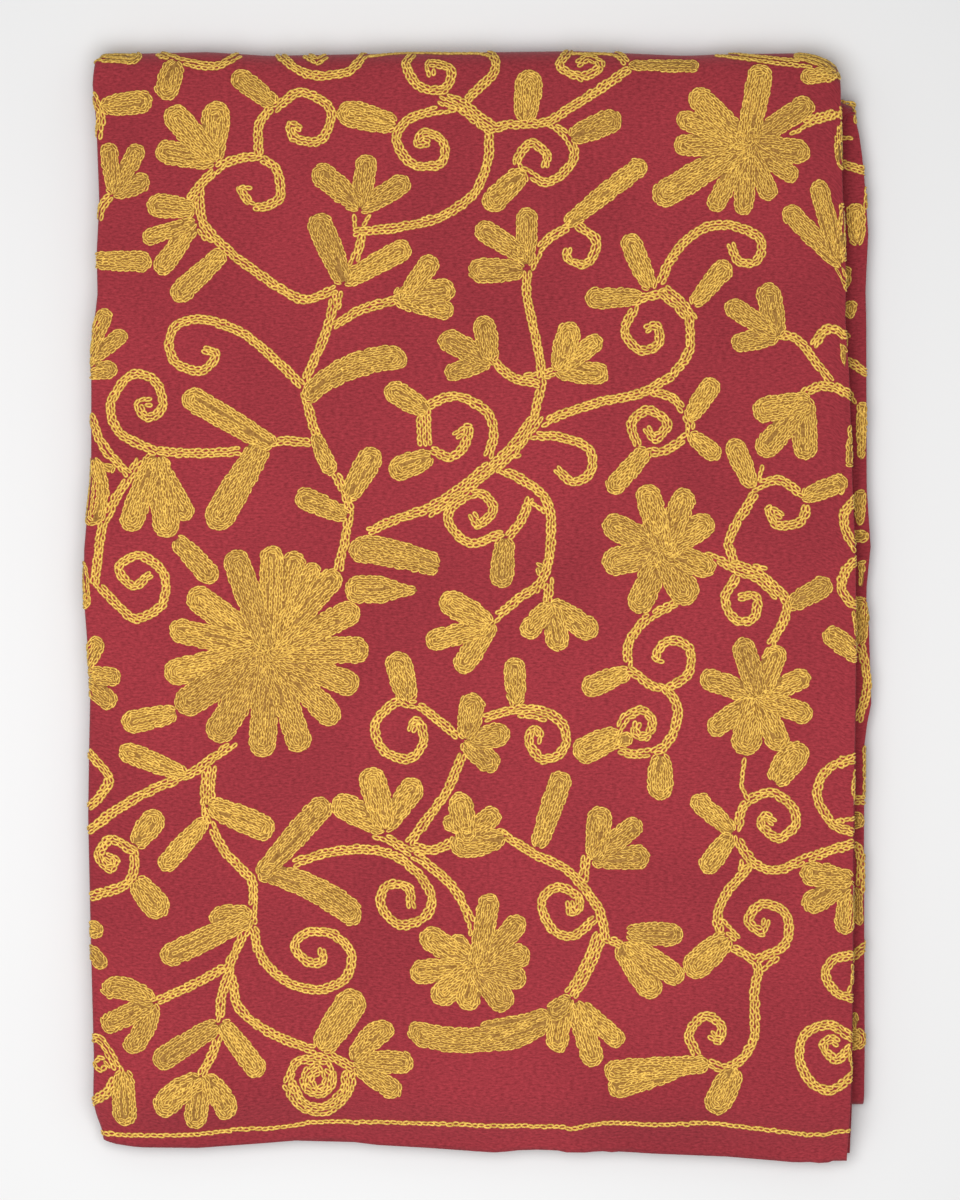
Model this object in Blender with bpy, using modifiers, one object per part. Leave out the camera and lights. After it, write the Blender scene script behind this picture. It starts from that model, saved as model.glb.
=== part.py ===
"""Embroidered cotton tablecloth, folded in four each way into a flat packet.

Metres, +Z up. The packet lies on its flat underside at Z 0, with its loose
hem towards -Y and the origin under the middle of its box.

The cloth is one sheet. Across X its section goes back and forth in four
layers: that section is one strip. The strip then goes back and forth in Y,
over the outer top fold, the bottom fold and the inner top fold.
"""

import math

import bmesh
import bpy

NAME = "tablecloth"
MM = 0.001

# Driving sizes, in millimetres
SHEET = 1.1
LAYER_PITCH = 1.6
STRIP = 4 * LAYER_PITCH
LEFT, RIGHT = -190.0, 190.0
HEM_Y, TOP_Y = -273.0, 276.5

# The section of one strip, in millimetres
FACE_RUN = 1.5 * LAYER_PITCH
CORE_RUN = 0.5 * LAYER_PITCH
INNER_FOLD_SET_BACK = 1.5
OUTER_HEM_SET_BACK = 4.0
INNER_HEM_SET_BACK = 2.5
OUTER_FOLD_CELLS = 4
TIGHT_FOLD_CELLS = 4

# The way of the strip: level of each flat run in strips, then millimetres
BASE, SHOWN, UNDER_FRONT, FRONT = 0.5, 1.5, 2.5, 3.5
BASE_LEVELS = 2
INNER_TOP_Y = 262.0
BOTTOM_FOLD_Y = -246.0
INNER_HEM_SHORT = 3.0

# All layers bend at the same places, so that no facet reaches the next layer
ACROSS_STATIONS = (-165, -110, -55, 0, 55, 110, 165, 184)
ALONG_STATIONS = (-190, -110, -30, 50, 120, 185, 252)
NOSE_CELLS = 6
TIGHT_NOSE_CELLS = 4
DROOP_CELLS = 4

# Points this near the lowest one are laid on the surface exactly, in millimetres
RESTING_BAND = 0.02

# Rise and fall of the packet: shares of its height, then lengths in millimetres
CROWN = 0.05
CROWN_SPAN_X, CROWN_SPAN_Y = 420.0, 620.0
WAVE = 0.015
WAVE_X, WAVE_Y = 47.0, 61.0
WAVE_START_X, WAVE_START_Y = 0.8, -0.4
NOSE_DIP = 1.8
NOSE_START, NOSE_LENGTH = 252.0, 20.0
DROOP = 10.9
DROOP_START, DROOP_LENGTH = -243.0, 32.0

# Edges of each strip at its left and right folds. Columns: y, left, right.
FRONT_EDGES = (
    (-280, -186.5, 185.5),
    (-262, -189.5, 186.6),
    (-255, -191.7, 187.2),
    (-200, -192.3, 187.6),
    (-140, -193.6, 188.0),
    (-80, -194.0, 188.5),
    (-45, -193.5, 189.2),
    (-15, -196.2, 189.5),
    (25, -196.6, 189.5),
    (60, -193.2, 188.0),
    (125, -193.0, 186.0),
    (150, -189.9, 184.3),
    (200, -189.0, 183.4),
    (255, -192.2, 182.2),
    (272, -191.5, 182.0),
    (278, -186.5, 181.5),
)
UNDER_FRONT_EDGES = (
    (-272, -186.0, 188.0),
    (0, -188.0, 191.0),
    (200, -186.0, 190.5),
    (255, -185.0, 189.5),
)
SHOWN_EDGES = (
    (-250, -186.0, 193.7),
    (-112, -187.0, 194.2),
    (-57, -187.0, 194.5),
    (-35, -187.0, 197.4),
    (0, -187.5, 196.4),
    (11, -187.5, 194.4),
    (38, -187.5, 197.0),
    (68, -187.0, 195.0),
    (150, -186.0, 194.6),
    (196, -186.0, 195.8),
    (223, -185.5, 193.7),
    (243, -185.0, 191.5),
    (255, -185.0, 189.5),
)
BASE_EDGES = (
    (-250, -186.0, 193.7),
    (0, -190.0, 187.0),
    (200, -189.0, 183.0),
    (272, -191.5, 182.0),
    (278, -186.5, 181.5),
)

# Top fold and front hem as seen from above. Columns: x, y.
TOP_FOLD = (
    (-190, 276.3),
    (-135, 277.5),
    (-105, 275.3),
    (-40, 276.8),
    (40, 278.0),
    (105, 275.3),
    (120, 276.3),
    (158, 276.4),
    (176, 269.0),
)
FRONT_HEM = (
    (-190, -268.0),
    (-170, -271.0),
    (-140, -271.3),
    (-108, -269.0),
    (-70, -267.3),
    (-20, -271.5),
    (0, -273.0),
    (77, -272.5),
    (90, -274.2),
    (130, -275.8),
    (165, -279.0),
    (190, -277.5),
)

CRIMSON = (0.33, 0.028, 0.047, 1.0)


def lerp(low, high, share):
    return low + (high - low) * share


def smooth_step(share):
    share = min(max(share, 0.0), 1.0)
    return share * share * (3.0 - 2.0 * share)


def read_table(rows, key):
    """The row of values at this key, between the two nearest rows."""
    if key <= rows[0][0]:
        return rows[0][1:]
    for low, high in zip(rows, rows[1:]):
        if key <= high[0]:
            share = smooth_step((key - low[0]) / (high[0] - low[0]))
            return tuple(lerp(a, b, share) for a, b in zip(low[1:], high[1:]))
    return rows[-1][1:]


def places_between(start, end, stations):
    """Start and the stations on the way, without the end itself."""
    inside = [place for place in stations if min(start, end) < place < max(start, end)]
    return [start] + sorted(inside, reverse=end < start)


def even_places(start, end, cells):
    return [lerp(start, end, step / cells) for step in range(cells)]


def panel_points(start_x, end_x, n):
    return [(x, n) for x in places_between(start_x, end_x, ACROSS_STATIONS)]


def arc_points(centre, radius, first_turn, turns, cells):
    """Points on an arc, angles counted in half turns from the first axis."""
    points = []
    for step in range(cells):
        angle = math.pi * (first_turn + turns * step / cells)
        points.append(
            (
                centre[0] + radius * math.cos(angle),
                centre[1] + radius * math.sin(angle),
            )
        )
    return points


def strip_section():
    """The (x, n) points of one strip, from its lower hem to its upper one."""
    half = SHEET / 2
    outer_fold_x = LEFT + half + FACE_RUN
    inner_fold_x = outer_fold_x + INNER_FOLD_SET_BACK
    right_fold_x = RIGHT - half - CORE_RUN
    lower_hem_x = RIGHT - OUTER_HEM_SET_BACK
    upper_hem_x = RIGHT - INNER_HEM_SET_BACK
    points = panel_points(lower_hem_x, outer_fold_x, -FACE_RUN)
    points += arc_points((outer_fold_x, 0), FACE_RUN, -0.5, -1, OUTER_FOLD_CELLS)
    points += panel_points(outer_fold_x, right_fold_x, FACE_RUN)
    points += arc_points(
        (right_fold_x, LAYER_PITCH), CORE_RUN, 0.5, -1, TIGHT_FOLD_CELLS
    )
    points += panel_points(right_fold_x, inner_fold_x, CORE_RUN)
    points += arc_points((inner_fold_x, 0), CORE_RUN, 0.5, 1, TIGHT_FOLD_CELLS)
    points += panel_points(inner_fold_x, upper_hem_x, -CORE_RUN)
    return points + [(upper_hem_x, -CORE_RUN)]


def droop_at(y):
    return DROOP * smooth_step((DROOP_START - y) / DROOP_LENGTH)


def flat_run(edges, level, side, places):
    """Stations of a strip that lies flat: place, normal and left and right edge."""
    stations = []
    for y in places:
        drop = droop_at(y) if level > BASE_LEVELS else 0.0
        height = level * STRIP - drop
        stations.append(((y, height), (0.0, side), read_table(edges, y)))
    return stations


def fold_run(centre, radius, bulge, start_up, side, edges, cells):
    """Stations round a fold of the strip, from one flat run to the next.

    The fold bulges towards +Y or -Y, starts above or below its centre, and
    its first station faces up or down: each of the three is 1 or -1.
    """
    stations = []
    for step in range(cells):
        angle = math.pi * step / cells
        outward = (bulge * math.sin(angle), start_up * math.cos(angle))
        place = (centre[0] + radius * outward[0], centre[1] + radius * outward[1])
        facing = side * start_up
        stations.append((place, (outward[0] * facing, outward[1] * facing), edges))
    return stations


def strip_way():
    """All stations of the strip, from the front hem to the hidden inner hem."""
    wide_fold = 1.5 * STRIP
    tight_fold = 0.5 * STRIP
    top_centre = TOP_Y - SHEET / 2 - wide_fold - FACE_RUN
    inner_centre = INNER_TOP_Y - SHEET / 2 - tight_fold - FACE_RUN
    bottom_centre = BOTTOM_FOLD_Y + SHEET / 2 + tight_fold + FACE_RUN
    top_edges = read_table(FRONT_EDGES, TOP_Y)
    inner_edges = read_table(SHOWN_EDGES, INNER_TOP_Y)
    bottom_edges = read_table(SHOWN_EDGES, BOTTOM_FOLD_Y)
    last_y = HEM_Y + INNER_HEM_SHORT

    front = even_places(HEM_Y, DROOP_START, DROOP_CELLS)
    front += places_between(DROOP_START, top_centre, ALONG_STATIONS)
    base = places_between(top_centre, bottom_centre, ALONG_STATIONS)
    shown = places_between(bottom_centre, inner_centre, ALONG_STATIONS)
    under_front = places_between(inner_centre, DROOP_START, ALONG_STATIONS)
    under_front += even_places(DROOP_START, last_y, DROOP_CELLS) + [last_y]

    way = flat_run(FRONT_EDGES, FRONT, 1, front)
    way += fold_run((top_centre, 2 * STRIP), wide_fold, 1, 1, 1, top_edges, NOSE_CELLS)
    way += flat_run(BASE_EDGES, BASE, -1, base)
    way += fold_run(
        (bottom_centre, STRIP), tight_fold, -1, -1, -1, bottom_edges, TIGHT_NOSE_CELLS
    )
    way += flat_run(SHOWN_EDGES, SHOWN, 1, shown)
    way += fold_run(
        (inner_centre, 2 * STRIP), tight_fold, 1, -1, 1, inner_edges, TIGHT_NOSE_CELLS
    )
    return way + flat_run(UNDER_FRONT_EDGES, UNDER_FRONT, -1, under_front)


def swell_at(x, y):
    """How much thicker than even the packet is here, as a share."""
    crown = math.cos(math.pi * x / CROWN_SPAN_X) * math.cos(math.pi * y / CROWN_SPAN_Y)
    wave = math.sin(x / WAVE_X + WAVE_START_X) * math.sin(y / WAVE_Y + WAVE_START_Y)
    return CROWN * crown + WAVE * wave


def place_point(section_point, station):
    """The place in millimetres of one point of the strip at one station."""
    x, n = section_point
    (y, z), (normal_y, normal_z), (left, right) = station
    y += n * normal_y
    z += n * normal_z
    x += lerp(left - LEFT, right - RIGHT, (x - LEFT) / (RIGHT - LEFT))
    hem_shift = read_table(FRONT_HEM, x)[0] - HEM_Y
    top_shift = read_table(TOP_FOLD, x)[0] - TOP_Y
    y += lerp(hem_shift, top_shift, (y - HEM_Y) / (TOP_Y - HEM_Y))
    share_over_base = (z - STRIP) / (2 * STRIP)
    dip = NOSE_DIP * smooth_step((y - NOSE_START) / NOSE_LENGTH)
    z += swell_at(x, y) * max(z - CORE_RUN, 0.0)
    z -= dip * min(max(share_over_base, 0.0), 1.0)
    return x, y, z


def fabric_material():
    material = bpy.data.materials.new("crimson_cotton")
    material.use_nodes = True
    shader = material.node_tree.nodes["Principled BSDF"]
    shader.inputs["Base Color"].default_value = CRIMSON
    shader.inputs["Roughness"].default_value = 0.9
    shader.inputs["Metallic"].default_value = 0.0
    return material


def folded_cloth():
    """One grid laid along the section and the way, then given its thickness."""
    section = strip_section()
    way = strip_way()
    mesh = bpy.data.meshes.new(NAME)
    shape = bmesh.new()
    bmesh.ops.create_grid(
        shape, x_segments=len(section) - 1, y_segments=len(way) - 1, size=0.5
    )
    for vertex in shape.verts:
        across = round((vertex.co.x + 0.5) * (len(section) - 1))
        along = round((vertex.co.y + 0.5) * (len(way) - 1))
        vertex.co = [MM * value for value in place_point(section[across], way[along])]
    shape.to_mesh(mesh)
    shape.free()
    mesh.shade_smooth()

    cloth = bpy.data.objects.new(NAME, mesh)
    thickness = cloth.modifiers.new("Thickness", "SOLIDIFY")
    thickness.thickness = SHEET * MM
    thickness.offset = 0.0
    thickness.use_even_offset = True
    thickness.use_quality_normals = True
    cloth.data.materials.append(fabric_material())
    return cloth


def apply_thickness(obj):
    """Keeps the thickened mesh itself, so that its underside can be laid flat."""
    bpy.context.view_layer.update()
    graph = bpy.context.evaluated_depsgraph_get()
    thick = bpy.data.meshes.new_from_object(obj.evaluated_get(graph))
    thin = obj.data
    obj.modifiers.clear()
    obj.data = thick
    bpy.data.meshes.remove(thin)
    thick.name = NAME


def stand_on_origin(obj):
    """Moves the mesh so that the origin is under the middle of its box."""
    points = [vertex.co for vertex in obj.data.vertices]
    lows = [min(point[axis] for point in points) for axis in range(3)]
    highs = [max(point[axis] for point in points) for axis in range(3)]
    shift = ((lows[0] + highs[0]) / 2, (lows[1] + highs[1]) / 2, lows[2])
    for point in points:
        for axis in range(3):
            point[axis] -= shift[axis]
        if point.z < RESTING_BAND * MM:
            point.z = 0.0


def main():
    for old in list(bpy.data.objects):
        bpy.data.objects.remove(old, do_unlink=True)
    collection = bpy.data.collections.new("folded_tablecloth")
    bpy.context.scene.collection.children.link(collection)
    cloth = folded_cloth()
    collection.objects.link(cloth)
    apply_thickness(cloth)
    stand_on_origin(cloth)


main()
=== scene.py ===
"""Dresses the folded tablecloth: the cotton sheet and its chain-stitched flowers.

The packet's folds are worked out as in the CAD, in millimetres, with the middle
of the photographed packet near 0, 0. Two flat coordinates run over the shown
face of the cloth: across, which goes round the side folds, and along, which
goes over the top fold to the underside. Motifs are given as seen from above.
"""

import collections
import math

import bpy
import numpy as np
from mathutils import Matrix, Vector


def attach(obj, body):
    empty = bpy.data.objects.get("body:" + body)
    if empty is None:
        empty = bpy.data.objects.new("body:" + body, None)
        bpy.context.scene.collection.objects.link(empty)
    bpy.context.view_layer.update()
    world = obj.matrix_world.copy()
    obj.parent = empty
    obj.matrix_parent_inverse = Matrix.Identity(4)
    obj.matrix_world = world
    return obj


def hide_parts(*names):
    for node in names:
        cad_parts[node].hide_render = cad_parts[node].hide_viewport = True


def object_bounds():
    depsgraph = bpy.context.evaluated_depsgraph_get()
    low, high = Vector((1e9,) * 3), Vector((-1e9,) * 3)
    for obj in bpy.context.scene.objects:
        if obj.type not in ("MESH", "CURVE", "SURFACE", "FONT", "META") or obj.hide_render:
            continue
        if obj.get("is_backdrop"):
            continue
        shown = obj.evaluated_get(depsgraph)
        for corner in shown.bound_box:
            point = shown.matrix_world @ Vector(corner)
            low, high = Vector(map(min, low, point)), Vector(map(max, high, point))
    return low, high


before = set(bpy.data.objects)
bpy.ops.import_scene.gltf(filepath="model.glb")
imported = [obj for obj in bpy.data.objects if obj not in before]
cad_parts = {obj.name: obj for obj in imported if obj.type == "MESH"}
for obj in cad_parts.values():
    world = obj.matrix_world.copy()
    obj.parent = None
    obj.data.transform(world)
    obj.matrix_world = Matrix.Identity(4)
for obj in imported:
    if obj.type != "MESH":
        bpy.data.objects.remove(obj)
cad_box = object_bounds()

MM = 0.001
SEED = 12

# Sizes shared with the CAD, in millimetres. Levels are counted in strips.
SHEET = 1.1
LAYER_PITCH = 1.6
STRIP = 4 * LAYER_PITCH
LEFT, RIGHT = -190.0, 190.0
HEM_Y, TOP_Y = -273.0, 276.5
FACE_RUN = 1.5 * LAYER_PITCH
CORE_RUN = 0.5 * LAYER_PITCH
INNER_FOLD_SET_BACK = 1.5
OUTER_HEM_SET_BACK = 4.0
INNER_HEM_SET_BACK = 2.5
BASE, SHOWN, UNDER_FRONT, FRONT = 0.5, 1.5, 2.5, 3.5
INNER_TOP_Y = 262.0
BOTTOM_FOLD_Y = -246.0
INNER_HEM_SHORT = 3.0
CROWN = 0.05
CROWN_SPAN_X, CROWN_SPAN_Y = 420.0, 620.0
WAVE = 0.015
WAVE_X, WAVE_Y = 47.0, 61.0
WAVE_START_X, WAVE_START_Y = 0.8, -0.4
NOSE_DIP = 1.8
NOSE_START, NOSE_LENGTH = 252.0, 20.0
DROOP = 10.9
DROOP_START, DROOP_LENGTH = -243.0, 32.0
MIDDLE_OF_BOX = (1.247, -0.609, 0.25)

# Worked out from them. The nose is the shown face where it rounds the top fold.
OUTER_FOLD_X = LEFT + SHEET / 2 + FACE_RUN
RIGHT_FOLD_X = RIGHT - SHEET / 2 - CORE_RUN
WIDE_FOLD, TIGHT_FOLD = 1.5 * STRIP, 0.5 * STRIP
TOP_CENTRE = TOP_Y - SHEET / 2 - WIDE_FOLD - FACE_RUN
INNER_CENTRE = INNER_TOP_Y - SHEET / 2 - TIGHT_FOLD - FACE_RUN
BOTTOM_CENTRE = BOTTOM_FOLD_Y + SHEET / 2 + TIGHT_FOLD + FACE_RUN
TOP_FOLD_Z = (BASE + FRONT) / 2 * STRIP
INNER_FOLD_Z = (SHOWN + UNDER_FRONT) / 2 * STRIP
BOTTOM_FOLD_Z = (BASE + SHOWN) / 2 * STRIP
NOSE_RADIUS = WIDE_FOLD + FACE_RUN
NOSE_MIDDLE = TOP_CENTRE + NOSE_RADIUS * math.pi / 2
NOSE_END = TOP_CENTRE + math.pi * NOSE_RADIUS
UNDER_END = NOSE_END + TOP_CENTRE - BOTTOM_CENTRE

# The cotton under the stitches: heights of its sides over the CAD sheet's middle,
# how far the CAD's edge lines are set out, and the cells of its mesh
COTTON_FACE, COTTON_BACK = -0.35, -0.75
EDGE_SET_OUT = 0.8
FINE, MIDDLING, COARSE = 4.6, 10.0, 30.0
HEM_CELL, TOP_FOLD_CELL = 2.5, 3.0
LEFT_FOLD_CELLS, RIGHT_FOLD_CELLS, INNER_FOLD_CELLS, HIDDEN_FOLD_CELLS = 8, 6, 4, 6
SETTLING_ROUNDS = 4

# Chain stitch, in millimetres: half_gap is half the gap inside a link, and
# nearest is the least distance between two links
Stitch = collections.namedtuple("Stitch", "kind row_gap pitch half_gap yarn nearest corners")
LINE_STITCH = Stitch("lines", 2.5, 3.15, half_gap=0.95, yarn=1.15, nearest=1.8, corners=12)
FILL_STITCH = Stitch("fills", 2.25, 3.2, half_gap=0.8, yarn=0.98, nearest=1.5, corners=8)
YARN_FOOT, YARN_CROWN = -0.42, 0.55
LINK_SLOPE = 0.2
LINK_OVERLAP = 0.35
NARROW_END = 0.65
SIDE_CORNERS, UNDER_CORNERS = 10, 5
# The pads' UV sits low on the wool's ramp of painted shade, so the pads show dark brown as painted
# shade between the links
LINK_UV_STEP, PAD_SHADE_UV = 0.37, 0.07
NEAR_CELL = 4
STEM_REACH = 1.4

# How unevenly links lie: along their row, in radians and to any side, then the
# ranges of their length and width
LINK_SLIDE, LINK_TURN, LINK_STRAY = 0.25, 0.15, 0.17
LENGTH_SHARES, WIDTH_SHARES = (0.95, 1.12), (0.82, 1.15)

# Leaves and petals, and the pads of yarn under them, in millimetres and shares
FLOWER_FOOT, LEAF_FOOT, POINTED_FOOT, FOOT_ROUND = 0.9, 0.8, 0.3, 3.0
FOOT_PINCH, GROWN_AT = 0.7, 0.7
MOST_HALF_WIDTH = 0.48
FIRST_INSET, LAST_INSET, MIDDLE_ROOM = 0.55, 0.3, 0.5
SIDE_POINTS, TIP_POINTS, MIDDLE_POINTS = 24, 9, 12
LEAST_SIDE = 0.1
PAD_HEIGHT, PAD_INSET, PAD_STEP, LEAST_PAD_POINTS = -0.1, 0.9, 3.0, 4
PAD_RISE, PAD_LEVELS = 0.025, 12

# Edges of each strip at its left and right folds. Columns: y, left, right.
FRONT_EDGES = (
    (-280, -186.5, 185.5), (-268, -188.6, 186), (-262, -190.8, 186.3), (-255, -192.2, 186.6),
    (-232, -191.7, 187.2), (-180, -193.1, 187.9), (-110, -194.6, 188.2), (-80, -194.2, 188.6),
    (-45, -193.5, 189.2), (-20, -195.2, 189.5), (0, -196.8, 189.5), (25, -196.6, 189.5),
    (45, -194.8, 188.9), (60, -193.1, 188.1), (125, -193, 186.2), (140, -191.5, 185),
    (153, -189.9, 184.3), (175, -190.3, 184.6), (200, -189, 183.6), (240, -190.5, 182.1),
    (260, -192.5, 182), (272, -191.5, 182), (276, -187.5, 181.5),
)
UNDER_FRONT_EDGES = (
    (-272, -186, 188), (-20, -188, 190.5), (0, -188, 184), (245, -186, 182), (255, -185, 186),
)
SHOWN_EDGES = (
    (-250, -186, 194.6), (-220, -186, 195), (-112, -187, 194.6), (-72, -187, 194.9),
    (-57, -187, 195), (-43, -187, 198.3), (0, -187.5, 197), (11, -187.5, 195.3), (38, -187.5, 198),
    (68, -187, 196), (153, -186, 195.8), (168, -186, 195.4), (196, -186, 196.8), (223, -185.5, 195),
    (243, -185, 193), (250, -185, 191.3), (255, -185, 190),
)
BASE_EDGES = (
    (-250, -186, 193.7), (0, -190, 187), (200, -189, 183), (272, -191.5, 182), (276, -187.5, 181.5),
)

# Top fold, front hem and the chained row along the hem. Columns: x, y.
TOP_FOLD = (
    (-190, 277.4), (-135, 278.6), (-105, 276.7), (-40, 277.9), (50, 279.1), (105, 276.7),
    (120, 277.4), (160, 278), (170, 277), (176, 274.5), (180, 271.2), (183, 266),
)
FRONT_HEM = (
    (-190, -266.5), (-183, -269.5), (-170, -271.5), (-140, -271.8), (-108, -269.5), (-90, -268),
    (-70, -267.8), (-50, -270.3), (-20, -272), (0, -273.5), (10, -274.1), (25, -272.5),
    (40, -272.9), (44, -274), (56, -274.1), (62, -273.1), (66, -274.1), (77, -273), (81, -274.2),
    (90, -274.7), (130, -276.3), (160, -279.1), (169, -278.8), (174, -279.9), (181, -277.5),
    (185.5, -278.3),
)
HEM_CHAIN = (
    (-192, -264.2), (-160, -265.4), (-140, -264.7), (-120, -262.3), (-100, -261.4), (-80, -258.5),
    (-50, -258.5), (-20, -259), (0, -259.9), (40, -260.5), (47, -261.8), (55, -260), (65, -258.5),
    (90, -259.5), (115, -258.5), (130, -260), (150, -262.5), (167, -264.5), (190, -262),
)

# Flowers. Each: centre x and y, then petals as tip x, tip y, width.
FLOWERS = (
    (135, 231, (
        (142.8, 271.8, 13.5), (107, 258, 13.5), (99.6, 245, 11), (98, 230.5, 12),
        (88.3, 202.7, 14.5), (117.5, 197.5, 10.5), (133, 195.3, 10.5), (147.5, 203, 10.5),
        (160.5, 213.5, 10), (166.8, 226.5, 13), (168, 253, 12),
    )),
    (-104, -22, (
        (-122.3, 28.4, 14), (-102.2, 30.7, 12.5), (-89.6, 27.7, 11.8), (-80, 22, 9),
        (-69, 18, 12.5), (-58.5, -0.8, 13.5), (-53.4, -21.5, 14), (-59, -40.8, 13.5),
        (-69.5, -58.2, 13.5), (-87, -73, 13.5), (-107.7, -75.5, 14.5), (-132, -67.5, 15.5),
        (-150.5, -51.5, 16), (-156.4, -34.2, 14.5), (-154, -10.8, 13), (-144, 8, 14.5),
    )),
    (93, 28, (
        (84, 61.5, 13.5), (105.5, 59, 13), (118, 44, 14), (119.5, 18, 13), (107, 1, 16),
        (79, -3.5, 14), (62.5, 21, 15), (63, 43, 14),
    )),
    (140.5, -45, (
        (131.7, -15.4, 12.5), (151.2, -19, 12.5), (166.8, -34, 11.5), (167.8, -55.2, 11.5),
        (152.5, -71.8, 13), (132.4, -74.5, 15.5), (115.5, -63, 11.5), (111.3, -34.5, 12),
    )),
    (0, -180, (
        (6.9, -143.2, 11.5), (23.3, -155.2, 12), (26.8, -172.8, 13.5), (24.8, -187.3, 12),
        (16.3, -201.3, 14.5), (-5.9, -201.9, 13), (-22, -197.5, 13.5), (-33.8, -183.2, 13),
        (-28, -162.7, 13.5), (-12, -164, 9),
    )),
)

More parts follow.
